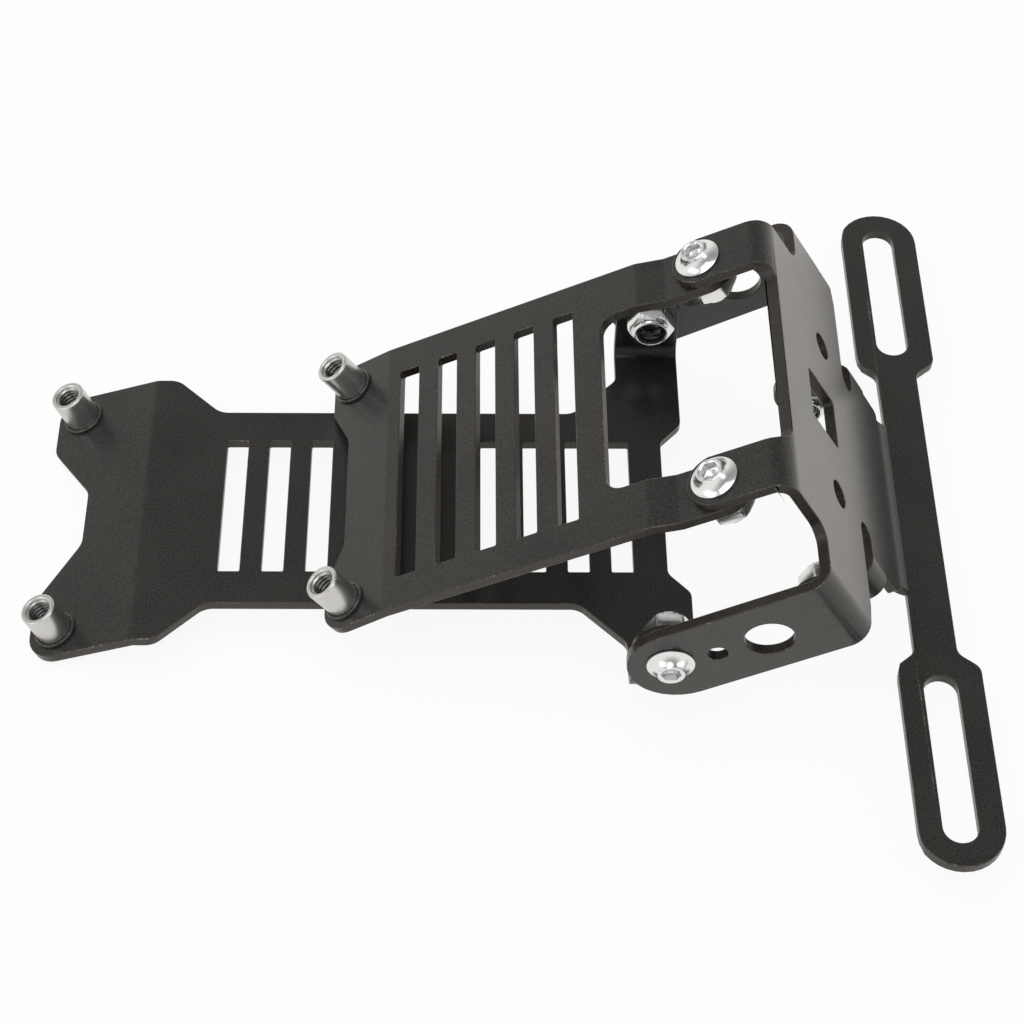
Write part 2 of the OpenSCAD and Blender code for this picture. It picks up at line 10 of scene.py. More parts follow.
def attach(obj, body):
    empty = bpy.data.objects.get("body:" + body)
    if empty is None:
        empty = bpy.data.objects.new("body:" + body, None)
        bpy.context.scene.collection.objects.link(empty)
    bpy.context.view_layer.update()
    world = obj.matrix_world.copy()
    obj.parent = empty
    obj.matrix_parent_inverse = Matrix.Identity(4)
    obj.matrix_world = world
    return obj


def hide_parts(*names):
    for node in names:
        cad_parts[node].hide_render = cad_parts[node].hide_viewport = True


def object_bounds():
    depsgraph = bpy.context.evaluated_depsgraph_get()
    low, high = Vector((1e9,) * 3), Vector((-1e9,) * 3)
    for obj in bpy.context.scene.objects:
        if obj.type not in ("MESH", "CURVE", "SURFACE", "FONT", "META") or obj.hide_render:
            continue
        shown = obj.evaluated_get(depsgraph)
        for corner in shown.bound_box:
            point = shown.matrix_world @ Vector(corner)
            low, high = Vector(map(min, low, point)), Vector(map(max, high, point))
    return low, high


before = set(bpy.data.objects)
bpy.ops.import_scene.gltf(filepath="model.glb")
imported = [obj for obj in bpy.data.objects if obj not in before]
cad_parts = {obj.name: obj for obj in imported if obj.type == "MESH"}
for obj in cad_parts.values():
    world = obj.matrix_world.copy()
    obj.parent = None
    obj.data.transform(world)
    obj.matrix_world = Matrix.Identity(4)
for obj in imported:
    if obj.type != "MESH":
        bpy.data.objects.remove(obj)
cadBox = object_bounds()
mm = 0.001
barX = 159.05  # the row's origin is on the bar, lengths along the part count from the first slot
print("frame loaded:", len(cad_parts), "nodes")


# shader helpers

class Value:
    # one socket; arithmetic on it adds Math nodes
    def __init__(self, finish, socket):
        self.finish = finish
        self.socket = socket

    def __add__(self, other):
        return self.finish.sums("ADD", self, other)

    def __radd__(self, other):
        return self.finish.sums("ADD", other, self)

    def __sub__(self, other):
        return self.finish.sums("SUBTRACT", self, other)

    def __rsub__(self, other):
        return self.finish.sums("SUBTRACT", other, self)

    def __mul__(self, other):
        return self.finish.sums("MULTIPLY", self, other)

    def __rmul__(self, other):
        return self.finish.sums("MULTIPLY", other, self)


class Finish:
    # a node tree in the making, a material's or the world's
    def __init__(self, owner):
        self.owner = owner
        owner.use_nodes = True
        self.tree = owner.node_tree
        self.tree.nodes.clear()

    def node(self, kind, settings, sockets, out=0):
        made = self.tree.nodes.new(kind)
        for name, value in settings.items():
            setattr(made, name, value)
        for key, value in sockets.items():
            if isinstance(value, Value):
                self.tree.links.new(value.socket, made.inputs[key])
            else:
                made.inputs[key].default_value = value
        return Value(self, made.outputs[out]) if made.outputs else None

    def sums(self, operation, first, second):
        return self.node("ShaderNodeMath", {"operation": operation}, {0: first, 1: second})

    def capped(self, first, second):
        # a sum that stops at 1
        return self.node("ShaderNodeMath", {"operation": "ADD", "use_clamp": True}, {0: first, 1: second})

    def vectors(self, operation, first, second):
        return self.node("ShaderNodeVectorMath", {"operation": operation}, {0: first, 1: second})

    def part(self, vector, axis):
        # one of a vector's three numbers
        return self.node("ShaderNodeSeparateXYZ", {}, {0: vector}, axis)

    def coords(self):
        return self.node("ShaderNodeTexCoord", {}, {}, "Object")

    def attribute(self, name):
        return self.node("ShaderNodeAttribute", {"attribute_name": name}, {}, "Vector")

    def lightPath(self, ray):
        return self.node("ShaderNodeLightPath", {}, {}, ray)

    def noise(self, where, size, detail=2.0, rough=0.5):
        # size is the width of one blotch in millimetres
        return self.node("ShaderNodeTexNoise", {"noise_dimensions": "3D"},
                         {"Vector": where, "Scale": 1 / (size * mm), "Detail": detail, "Roughness": rough})

    def spread(self, value, low, high):
        # low and high of the value become 0 and 1
        return self.node("ShaderNodeMapRange", {"clamp": True}, {0: value, 1: low, 2: high, 3: 0.0, 4: 1.0})

    def blend(self, factor, first, second):
        # colours, each of three numbers or a socket
        pair = [c if isinstance(c, Value) else (*c, 1) for c in (first, second)]
        return self.node("ShaderNodeMix", {"data_type": "RGBA"}, {0: factor, 6: pair[0], 7: pair[1]}, 2)

    def bump(self, height, depth, strength=1.0, normal=None):
        # depth is the height of the relief in millimetres
        sockets = {"Height": height, "Distance": depth * mm, "Strength": strength}
        if normal is not None:
            sockets["Normal"] = normal
        return self.node("ShaderNodeBump", {}, sockets)

    def surface(self, sockets):
        shader = self.node("ShaderNodeBsdfPrincipled", {}, sockets)
        self.node("ShaderNodeOutputMaterial", {}, {"Surface": shader})
        return self.owner


def newFinish(name):
    return Finish(bpy.data.materials.new(name))


# finishes: widths of blotches and depths of relief are in millimetres

coat = {
    "dark": (0.0040, 0.0038, 0.0034),
    "light": (0.0270, 0.0258, 0.0236),
    "mottle": (0.38, 0.62),
    "grain": 0.46,
    "grainDepth": 0.030,
    "grainRough": 0.30,
    "peel": 1.7,
    "peelDepth": 0.020,
    "cloud": 26.0,
    "cloudRough": 0.14,
    "speck": 0.5,
    "speckAt": (0.72, 0.80),
    "speckShare": 0.3,
    "speckTone": (0.060, 0.058, 0.054),
    "roughness": 0.35,
    "specular": 0.30,
    "gloss": 0.75,
    "glossRoughness": 0.20,
    "glossIndex": 1.35,
}


def coatLook(finish, where):
    # satin powder coat: a fine grain on a soft orange peel, with faint clouds of wear
    grain = finish.noise(where, coat["grain"], 3.0, 0.6)
    peel = finish.noise(where, coat["peel"], 1.5)
    cloud = finish.noise(where, coat["cloud"], 3.0, 0.6)
    speck = finish.spread(finish.noise(where, coat["speck"], 1.0), *coat["speckAt"])
    mottle = finish.spread(grain * 0.8 + cloud * 0.2, *coat["mottle"])
    tone = finish.blend(mottle, coat["dark"], coat["light"])
    tone = finish.blend(speck * coat["speckShare"], tone, coat["speckTone"])
    rough = coat["roughness"] + (grain - 0.5) * coat["grainRough"] + (cloud - 0.5) * coat["cloudRough"]
    relief = finish.bump(peel, coat["peelDepth"], 0.8)
    relief = finish.bump(grain, coat["grainDepth"], 0.9, relief)
    return tone, rough, relief


def coatSurface(finish, tone, rough, relief, metal=0.0, gloss=1.0):
    # a clear skin lies on the coat, so it is dark seen from above and pale at a grazing look
    return finish.surface({"Base Color": tone, "Roughness": rough, "Normal": relief, "Metallic": metal,
                           "Specular IOR Level": coat["specular"], "Coat Weight": coat["gloss"] * gloss,
                           "Coat Roughness": coat["glossRoughness"], "Coat IOR": coat["glossIndex"]})


def makeCoat():
    finish = newFinish("powderCoat")
    tone, rough, relief = coatLook(finish, finish.coords())
    return coatSurface(finish, tone, rough, relief)


rimHighlightAndWear = {
    "tone": (0.042, 0.039, 0.035),
    "share": 0.5,
    "bareSteel": (0.24, 0.23, 0.215),
    "fleck": 0.6,
    "patch": 9.0,
    "wornAt": (0.54, 0.66),
    "metal": 0.7,
    "gloss": 0.6,
}


def makeRim():
    # along the rounded edges the coat is painted lighter all round, a painted edge highlight, and bare steel
    # shows in specks where it is worn
    finish = newFinish("coatRim")
    where = finish.coords()
    tone, rough, relief = coatLook(finish, where)
    fleck = finish.noise(where, rimHighlightAndWear["fleck"], 3.0, 0.7)
    patch = finish.noise(where, rimHighlightAndWear["patch"], 2.0)
    worn = finish.spread(fleck * 0.6 + patch * 0.4, *rimHighlightAndWear["wornAt"])
    # painted highlight: every rim is blended halfway towards a paler tone
    tone = finish.blend(rimHighlightAndWear["share"], tone, rimHighlightAndWear["tone"])
    tone = finish.blend(worn, tone, rimHighlightAndWear["bareSteel"])
    return coatSurface(finish, tone, rough, relief, worn * rimHighlightAndWear["metal"], rimHighlightAndWear["gloss"])


cutFace = {
    "mark": 0.42,
    "markAt": (0.35, 0.65),
    "markShare": 0.6,
    "markShadeTone": (0.030, 0.021, 0.012),
    "markDepth": 0.05,
    "speck": 0.5,
    "speckAt": (0.62, 0.70),
    "speckShare": 0.35,
    "speckTone": (0.085, 0.070, 0.052),
    "rougher": 0.05,
    "gloss": 0.5,
}


def makeCut():
    # the laser-cut faces: fine marks run across the sheet, so the pattern is even along "thick"
    finish = newFinish("cutEdge")
    where = finish.coords()
    thick = finish.attribute("thick")
    depth = finish.node("ShaderNodeVectorMath", {"operation": "DOT_PRODUCT"}, {0: where, 1: thick}, "Value")
    across = finish.node("ShaderNodeVectorMath", {"operation": "SCALE"}, {0: thick, "Scale": depth})
    marks = finish.noise(finish.vectors("SUBTRACT", where, across), cutFace["mark"], 2.0, 0.6)
    tone, rough, relief = coatLook(finish, where)
    speck = finish.spread(finish.noise(where, cutFace["speck"], 2.0, 0.7), *cutFace["speckAt"])
    shown = finish.spread(marks, *cutFace["markAt"]) * cutFace["markShare"]
    # painted shade: the cut marks are tinted brown, the colour shaded cut faces take on; the marks' pattern
    # itself is the real striation of the cut
    tone = finish.blend(shown, tone, cutFace["markShadeTone"])
    tone = finish.blend(speck * cutFace["speckShare"], tone, cutFace["speckTone"])
    relief = finish.bump(marks, cutFace["markDepth"], 0.8, relief)
    return coatSurface(finish, tone, rough + cutFace["rougher"], relief, 0.0, cutFace["gloss"])


steel = {
    "stainless": {
        "tone": (0.84, 0.86, 0.88),
        "dull": (0.56, 0.57, 0.58),
        "roughness": 0.21,
        "turning": 0.10,
        "marks": 0.05,
        "hollow": (2.95, 2.6),
        "depth": (-0.5, -1.5),
    },
    "zincSteel": {
        "tone": (0.64, 0.65, 0.65),
        "dull": (0.44, 0.43, 0.41),
        "roughness": 0.30,
        "turning": 0.30,
        "marks": 0.04,
        "hollow": (3.20, 3.06),
        "depth": (8.8, 7.2),
    },
    "recessShade": (0.045, 0.042, 0.040),
    "recessShadeShare": 0.86,
    "smear": 2.6,
    "smearShare": 0.40,
    "smearRough": 0.10,
    "grime": 1.1,
    "grimeAt": (0.60, 0.75),
    "grimeShare": 0.15,
    "grimeRough": 0.05,
    "scratch": 0.16,
    "scratchAt": (0.64, 0.72),
    "scratchRough": 0.04,
    "lineDepth": 0.003,
    "aroundLines": 1.5,
}


def makeSteel(name):
    # turned steel: "turn" holds (distance from the axis, height, angle) in millimetres and turns
    look = steel[name]
    finish = newFinish(name)
    where = finish.coords()
    turn = finish.attribute("turn")
    finer = 1 / look["turning"]
    lines = finish.node("ShaderNodeTexNoise", {"noise_dimensions": "3D"},
                        {"Vector": finish.vectors("MULTIPLY", turn, (finer, finer, steel["aroundLines"])),
                         "Scale": 1.0, "Detail": 2.0})
    smear = finish.noise(where, steel["smear"], 3.0, 0.6)
    grime = finish.spread(finish.noise(where, steel["grime"], 3.0, 0.7), *steel["grimeAt"])
    scratch = finish.spread(finish.noise(where, steel["scratch"], 1.0), *steel["scratchAt"])
    # painted shade: thread roots, screw ends and the standoffs' bores are darkened near the axis and away
    # from the mouth, where shade falls in the hollows
    hollow = finish.spread(finish.part(turn, "X"), *look["hollow"])
    recessShade = hollow * finish.spread(finish.part(turn, "Y"), *look["depth"])
    tone = finish.blend(smear * steel["smearShare"] + grime * steel["grimeShare"], look["tone"], look["dull"])
    tone = finish.blend(recessShade * steel["recessShadeShare"], tone, steel["recessShade"])
    rough = look["roughness"] + (smear - 0.5) * steel["smearRough"] + grime * steel["grimeRough"]
    rough = rough + (lines - 0.5) * look["marks"] + scratch * steel["scratchRough"]
    relief = finish.bump(lines, steel["lineDepth"], 0.6)
    return finish.surface({"Base Color": tone, "Metallic": 1.0, "Roughness": rough, "Normal": relief})


nylon = {
    "dark": (0.016, 0.018, 0.024),
    "light": (0.040, 0.044, 0.055),
    "wave": 0.8,
    "waveDepth": 0.02,
    "waveRough": 0.2,
    "roughness": 0.42,
}


def makeNylon():
    finish = newFinish("nylon")
    wave = finish.noise(finish.coords(), nylon["wave"], 2.0)
    return finish.surface({"Base Color": finish.blend(wave, nylon["dark"], nylon["light"]),
                           "Roughness": nylon["roughness"] + (wave - 0.5) * nylon["waveRough"],
                           "Normal": finish.bump(wave, nylon["waveDepth"], 0.6)})


darkRing = {
    "highlightTone": (0.12, 0.11, 0.10),
    "highlightShare": 0.7,
    "highlightHeight": (0.66, 0.80),
    "patch": 0.7,
    "patchAt": (0.42, 0.60),
    "smoother": 0.1,
}


def makeDarkRing():
    # the pressed rim round a standoff: coat over a turned edge, with a painted highlight in patches along its
    # top, where it is also smoother
    finish = newFinish("darkRing")
    where = finish.coords()
    tone, rough, relief = coatLook(finish, where)
    height = finish.part(finish.attribute("turn"), "Y")
    patch = finish.spread(finish.noise(where, darkRing["patch"], 2.0, 0.6), *darkRing["patchAt"])
    # painted highlight: the top of the rim is made lighter in patches
    paintedHighlight = finish.spread(height, *darkRing["highlightHeight"]) * patch
    tone = finish.blend(paintedHighlight * darkRing["highlightShare"], tone, darkRing["highlightTone"])
    return coatSurface(finish, tone, rough - paintedHighlight * darkRing["smoother"], relief)


finishes = {
    "coat": makeCoat(),
    "rim": makeRim(),
    "cut": makeCut(),
    "stainless": makeSteel("stainless"),
    "zincSteel": makeSteel("zincSteel"),
    "nylon": makeNylon(),
    "darkRing": makeDarkRing(),
}
print("finishes made:", len(finishes))


# folded sheets

sheet = {
    "thickness": 2.5,
    "sameSpot": 0.002,  # corners nearer than this are one
    "sameFlat": 0.4,  # degrees between faces that are one
    "sharpAngle": 32,
    "rimWidth": 0.2,
    "rimSteps": 3,
    "flatWeight": 90,
    "finishes": ("coat", "rim", "cut"),
}
tabFold = {"sides": (25.3, 38.3), "hair": 0.11}


def flushFolds(work):
    # the tabs' folds are a hair wider than the tabs, which a rounded edge can't follow
    for vert in work.verts:
        for side in tabFold["sides"]:
            if abs(abs(vert.co.y) - side * mm) < tabFold["hair"] * mm:
                vert.co.y = math.copysign(side * mm, vert.co.y)


bar = {
    "left": 148.0,  # the bar lies beyond this, counted along the part
    "neck": 26.5,  # and its flat margins from here outwards
    "heights": (-2.6, 0.6),
    "under": -0.01,  # what lies lower belongs to the underside
    "thinEdge": (151.04, 0.1),  # left of this the underside rises as high as this
    "corner": ((46.0, 150.15), (48.0, 149.95), (86.6, 149.95), (88.7, 150.15)),
    "cornerReach": 151.2,
}


def flattenBar(work):
    # the bar's loops are flat up to their left edge, where the solid thins out
    lowest, highest = bar["heights"]
    edge, rise = bar["thinEdge"]
    for vert in work.verts:
        x, z = vert.co.x / mm + barX, vert.co.z / mm
        if abs(vert.co.y) > bar["neck"] * mm and x > bar["left"] and lowest < z < highest:
            under = z < bar["under"] or (x < edge and z < rise)
            vert.co.z = -sheet["thickness"] * mm if under else 0.0


def roundLoops(work):
    # the loops' left corners: at each distance from the middle the edge moves to its place along
    for across, along in bar["corner"]:
        for side in (-1, 1):
            near = [f for f in work.faces if min(v.co.x for v in f.verts) / mm + barX > bar["left"]]
            edges = dict.fromkeys(e for f in near for e in f.edges)
            corners = dict.fromkeys(v for f in near for v in f.verts)
            bmesh.ops.bisect_plane(work, geom=near + list(edges) + list(corners),
                                   plane_co=(0, side * across * mm, 0), plane_no=(0, 1, 0))
        for vert in work.verts:
            x = vert.co.x / mm + barX
            if abs(abs(vert.co.y) / mm - across) < 0.01 and bar["left"] < x < bar["cornerReach"]:
                vert.co.x = (along - barX) * mm


probe = {"start": 0.01, "reach": 20.0, "slack": 0.06, "facing": -0.9}


def markCutFaces(work):
    # a face is the sheet's own surface if a ray through the metal, from the middle of the face's
    # largest triangle, meets the other side one thickness away; the rest are cut faces, and keep
    # the direction of the sheet beside them
    tree = BVHTree.FromBMesh(work)
    layer = work.faces.layers.float_vector.new("thick")
    start = probe["start"] * mm
    inside = {}
    for loops in work.calc_loop_triangles():
        a, b, c = (loop.vert.co for loop in loops)
        area = (b - a).cross(c - a).length
        if area > inside.get(loops[0].face.index, (0, None))[0]:
            inside[loops[0].face.index] = (area, (a + b + c) / 3)
    skin = set()
    for face in work.faces:
        middle = inside[face.index][1] if face.index in inside else face.calc_center_median()
        below = middle - face.normal * start
        spot, normal, _, depth = tree.ray_cast(below, -face.normal, probe["reach"] * mm)
        if spot is not None and abs(depth + start - sheet["thickness"] * mm) < probe["slack"] * mm:
            if normal.dot(face.normal) < probe["facing"]:
                skin.add(face.index)
    for face in work.faces:
        face[layer] = face.normal
        if face.index not in skin:
            face.material_index = sheet["finishes"].index("cut")
            beside = [f for e in face.edges for f in e.link_faces if f.index in skin]
            if beside:
                face[layer] = max(beside, key=lambda f: f.calc_area()).normal
    return len(skin)


def dressSheet(nodeName):
    # a merged copy of the node with every sharp edge rounded, as coated sheet has
    work = bmesh.new()
    work.from_mesh(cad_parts[nodeName].data)
    if nodeName == "bracket":
        flushFolds(work)
        flattenBar(work)
        roundLoops(work)
    bmesh.ops.remove_doubles(work, verts=work.verts, dist=sheet["sameSpot"] * mm)
    bmesh.ops.dissolve_limit(work, angle_limit=math.radians(sheet["sameFlat"]),
                             verts=work.verts, edges=work.edges)
    work.normal_update()
    work.faces.index_update()
    for face in work.faces:
        face.smooth = True
        face.material_index = sheet["finishes"].index("coat")
    skin = markCutFaces(work)
    mesh = bpy.data.meshes.new(nodeName + "_dressed")
    work.to_mesh(mesh)
    work.free()
    if "custom_normal" in mesh.attributes:
        mesh.attributes.remove(mesh.attributes["custom_normal"])  # they belonged to the faces before merging
    mesh.set_sharp_from_angle(angle=math.radians(sheet["sharpAngle"]))
    for key in sheet["finishes"]:
        mesh.materials.append(finishes[key])
    piece = bpy.data.objects.new(nodeName + "_dressed", mesh)
    bpy.context.scene.collection.objects.link(piece)
    rim = piece.modifiers.new("rim", "BEVEL")
    rim.width = sheet["rimWidth"] * mm
    rim.segments = sheet["rimSteps"]
    rim.limit_method = "ANGLE"
    rim.angle_limit = math.radians(sheet["sharpAngle"])
    rim.use_clamp_overlap = False
    rim.material = sheet["finishes"].index("rim")
    even = piece.modifiers.new("even", "WEIGHTED_NORMAL")
    even.mode = "FACE_AREA"
    even.weight = sheet["flatWeight"]
    even.keep_sharp = True
    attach(piece, "root")
    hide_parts(nodeName)
    print(nodeName, "dressed:", skin, "of", len(mesh.polygons), "faces are sheet surface")
    return piece


for nodeName in ("lower_plate", "upper_plate", "bracket"):
    dressSheet(nodeName)


# where the small parts sit

def seat(x, y, z, out, along):
    # a frame whose z is out and whose x is along; lengths in millimetres from the first slot
    zAxis = np.array(out, float)
    zAxis /= np.linalg.norm(zAxis)
    xAxis = np.array(along, float)
    xAxis -= zAxis * (xAxis @ zAxis)
    xAxis /= np.linalg.norm(xAxis)
    place = np.eye(4)
    place[:3, 0] = xAxis
    place[:3, 1] = np.cross(zAxis, xAxis)
    place[:3, 2] = zAxis
    place[:3, 3] = (x - barX, y, z)
    return place


def tilted(panel, along, y, height, flip=False):
    # a seat on a panel that rises to the right by its angle, at a distance along it and a height over it
    c, s = math.cos(math.radians(panel["angle"])), math.sin(math.radians(panel["angle"]))
    out = np.array([-s, 0, c])
    x = panel["x"] + c * along - s * height
    z = panel["z"] + s * along + c * height
    return seat(x, y, z, -out if flip else out, (c, 0, s))


tabs = {
    "lower": {"x": -20.6, "z": 0.0, "angle": 19.5, "along": -19.2, "y": 31.5},
    "upper": {"x": 35.75, "z": 11.2, "angle": 34.2, "along": -10.3, "y": 31.7},
}
tabScrew = {"x": 35.75, "z": 11.2, "angle": 27.8, "along": 80.2, "y": 31.75, "head": 1.0, "nut": -4.0}
pivot = {"x": 98.4, "z": 12.8, "head": 53.2, "nut": 48.2}
earScrew = {"x": 120.08, "z": 58.81, "angle": 60.34, "down": 53.2, "back": 13.6, "head": 31.7, "nut": 29.2}


def standoffSeat(plate, side):
    tab = tabs[plate]
    return tilted(tab, tab["along"], side * tab["y"], 0)


def tabSeat(side, what):
    return tilted(tabScrew, tabScrew["along"], side * tabScrew["y"], tabScrew[what], what == "nut")


def pivotSeat(side, what):
    turn = side if what == "head" else -side
    return seat(pivot["x"], side * pivot[what], pivot["z"], (0, turn, 0), (1, 0, 0))


def earSeat(side, what):
    c, s = math.cos(math.radians(earScrew["angle"])), math.sin(math.radians(earScrew["angle"]))
    x = earScrew["x"] + c * earScrew["down"] - s * earScrew["back"]
    z = earScrew["z"] - s * earScrew["down"] - c * earScrew["back"]
    turn = side if what == "head" else -side
    return seat(x, side * earScrew[what], z, (0, turn, 0), (c, 0, -s))


# turned parts: profiles of (distance from the axis, height) in millimetres

turned = {"segments": 96, "sharpAngle": 34}
theta = np.linspace(0, 2 * math.pi, turned["segments"], endpoint=False)


def hexagon(flats, rounding):
    # distance of a hexagon's outline from its middle at each angle: half the width across flats
    # over the cosine of the angle to the nearest flat, its corners cut off at a circle
    nearest = np.mod(theta, math.pi / 3) - math.pi / 6
    edge = flats / 2 / np.cos(nearest)
    return np.minimum(edge, flats / 2 / math.cos(math.pi / 6) - rounding)


threadForm = {"steep": 1.35, "rootFlat": 0.12, "perTurn": 12}


def thread(start, end, low, high, pitch, fadeStart, fadeEnd):
    # rings of a screw thread: the distance from the axis goes between low and high as a
    # triangle wave of height over pitch less angle over a full turn, fading out at both ends
    count = max(int(abs(end - start) / pitch * threadForm["perTurn"]), 4)
    height = np.linspace(start, end, count)[:, None]
    phase = np.mod(height / pitch - theta[None, :] / (2 * math.pi), 1.0)
    wave = np.clip(threadForm["steep"] * (1 - np.abs(2 * phase - 1)) - threadForm["rootFlat"], 0, 1)
    fade = np.clip(np.abs(height - start) / fadeStart, 0, 1)
    fade = fade * np.clip(np.abs(height - end) / fadeEnd, 0, 1)
    outward = low + (high - low) * wave * fade
    return outward, np.repeat(height, turned["segments"], axis=1)


def ring(radius, height):
    shape = (1, turned["segments"])
    return np.broadcast_to(radius, shape).astype(float), np.broadcast_to(height, shape).astype(float)


def rings(points, radius=0.0, height=0.0):
    # plain round rings from (radius, height) pairs, counted from a given radius and height
    pairs = [ring(radius + r, height + z) for r, z in points]
    return np.vstack([p[0] for p in pairs]), np.vstack([p[1] for p in pairs])


def arc(start, end, sag, count):
    # points between two places on a shallow arc: the chord plus a parabola of height sag to its right
    t = np.linspace(0, 1, count)
    chord = np.array(end) - np.array(start)
    right = np.array([chord[1], -chord[0]]) / np.linalg.norm(chord)
    bulge = sag * 4 * t * (1 - t)
    return np.array(start) + chord * t[:, None] + right * bulge[:, None]


def turnedPiece(name, parts, place, finishName, nodeName, closed=False):
    # parts are (radius, height) grids, row after row along the profile; a profile that starts or
    # ends on the axis is closed with one point, and a closed one joins its last row to its first
    segments = turned["segments"]
    radius = np.vstack([p[0] for p in parts])
    height = np.vstack([p[1] for p in parts])
    count = len(radius)
    x = radius * np.cos(theta)
    y = radius * np.sin(theta)
    points = np.stack([x, y, height, np.ones_like(x)], axis=-1).reshape(-1, 4)
    share = np.broadcast_to(theta / (2 * math.pi), radius.shape)
    turn = np.stack([radius, height, share], axis=-1).reshape(-1, 3)
    row = np.arange(count if closed else count - 1)[:, None] * segments
    nextRow = (row + segments) % (count * segments)
    column = np.arange(segments)[None, :]
    nextColumn = (column + 1) % segments
    quads = np.stack([row + column, row + nextColumn, nextRow + nextColumn, nextRow + column], axis=-1)
    faces = quads.reshape(-1, 4).tolist()
    if not closed:
        points = np.vstack([points, [0, 0, height[0, 0], 1], [0, 0, height[-1, 0], 1]])
        turn = np.vstack([turn, [0, height[0, 0], 0], [0, height[-1, 0], 0]])
        first, last = count * segments, count * segments + 1
        base = (count - 1) * segments
        around = np.arange(segments)
        onward = (around + 1) % segments
        faces += np.stack([np.full(segments, first), onward, around], axis=-1).tolist()
        faces += np.stack([np.full(segments, last), base + around, base + onward], axis=-1).tolist()
    world = (points @ place.T)[:, :3] * mm
    mesh = bpy.data.meshes.new(name)
    mesh.from_pydata(world.tolist(), [], faces)
    mesh.update()
    a, b, c = (world[[f[corner] for f in faces]] for corner in range(3))
    if np.einsum("ij,ij->i", a, np.cross(b, c)).sum() < 0:  # six times the volume
        mesh.flip_normals()
    store = mesh.attributes.new("turn", "FLOAT_VECTOR", "POINT")
    store.data.foreach_set("vector", turn.astype(np.float32).ravel())
    mesh.polygons.foreach_set("use_smooth", np.ones(len(mesh.polygons), bool))
    mesh.set_sharp_from_angle(angle=math.radians(turned["sharpAngle"]))
    mesh.materials.append(finishes[finishName])
    piece = bpy.data.objects.new(name, mesh)
    bpy.context.scene.collection.objects.link(piece)
    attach(piece, "root")
    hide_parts(nodeName)
    return piece


screw = {
    "shank": 2.96,
    "core": 2.45,
    "pitch": 1.0,
    "threadFrom": 0.3,
    "threadTo": -1.2,
    "fade": (0.5, 0.6),
    "tip": ((-0.35, 0.0), (-0.1, 0.12)),  # from the core and the end
    "neck": ((0.0, -0.9), (0.0, -0.05), (0.05, 0.0)),  # from the shank and the seat
    "head": 5.25,
    "headHeight": 3.3,
    "headEdge": ((-0.32, 0.0), (-0.12, 0.06), (-0.02, 0.22), (0.0, 0.42)),  # from its side and the seat
    "domeStart": (-0.02, 0.62),
    "domeEnd": (0.12, -0.09),  # from the crown and the top
    "domeSag": -0.42,
    "crown": 2.85,
    "crownEdge": ((0.0, -0.02), (-0.12, 0.0)),
    "mouth": 0.12,
    "mouthEdge": ((0.06, 0.0), (0.0, -0.03)),
    "socket": 4.0,
    "socketDepth": 2.15,
    "socketRounding": 0.06,
    "socketSteps": (0.22, 0.8, 2.09),  # down from the top
    "drillPoint": ((1.5, -0.12), (0.7, -0.38), (0.12, -0.5)),  # from the socket's floor
}


def makeScrew(name, length, place, nodeName):
    # one profile from the tip up the threaded shank, round the head and down into the socket
    s = screw
    six = hexagon(s["socket"], s["socketRounding"])
    top = s["headHeight"]
    floor = top - s["socketDepth"]
    mouth = s["socket"] / 2 / math.cos(math.pi / 6) + s["mouth"]
    domeStart = (s["head"] + s["domeStart"][0], s["domeStart"][1])
    domeEnd = (s["crown"] + s["domeEnd"][0], top + s["domeEnd"][1])
    parts = [
        rings(s["tip"], s["core"], -length),
        thread(s["threadFrom"] - length, s["threadTo"], s["core"], s["shank"], s["pitch"], *s["fade"]),
        rings(s["neck"], s["shank"]),
        rings(s["headEdge"], s["head"]),
        rings(arc(domeStart, domeEnd, s["domeSag"], 14)),
        rings(s["crownEdge"], s["crown"], top),
        rings(s["mouthEdge"], mouth, top),
        *[ring(six, top - down) for down in s["socketSteps"]],
        ring(six - s["socketRounding"], floor),
        rings(s["drillPoint"], 0.0, floor),
    ]
    return turnedPiece(name, parts, place, "stainless", nodeName)


nut = {
    "flats": 10.0,
    "rounding": 0.10,
    "height": 6.0,
    "collar": 1.4,
    "bore": 3.06,
    "boreEdge": ((0.0, 0.45), (0.36, 0.02), (0.42, 0.0)),  # from the bore and the seat
    "face": 4.88,
    "faceEdge": (-0.08, 0.0),
    "lowTurn": ((0.03, 0.04, 0.36), (0.0, 0.09, 0.38)),  # in from the flats, height, and more at the corners
    "highTurn": ((0.0, 0.09, 0.42), (0.03, 0.04, 0.40)),
    "shoulder": ((4.78, 0.0), (4.74, 0.02), (4.68, 0.10)),  # from the top of the hexagon
    "domeStart": (4.66, 0.16),
    "domeEnd": (3.96, -0.06),
    "domeSag": -0.22,
    "lip": ((3.88, -0.01), (3.80, 0.0), (3.72, -0.01), (3.64, -0.06), (3.55, -0.16)),  # from the top
    "pocketFloor": ((3.55, 0.03), (3.06, 0.01), (3.06, -0.02)),  # from the top of the hexagon
}


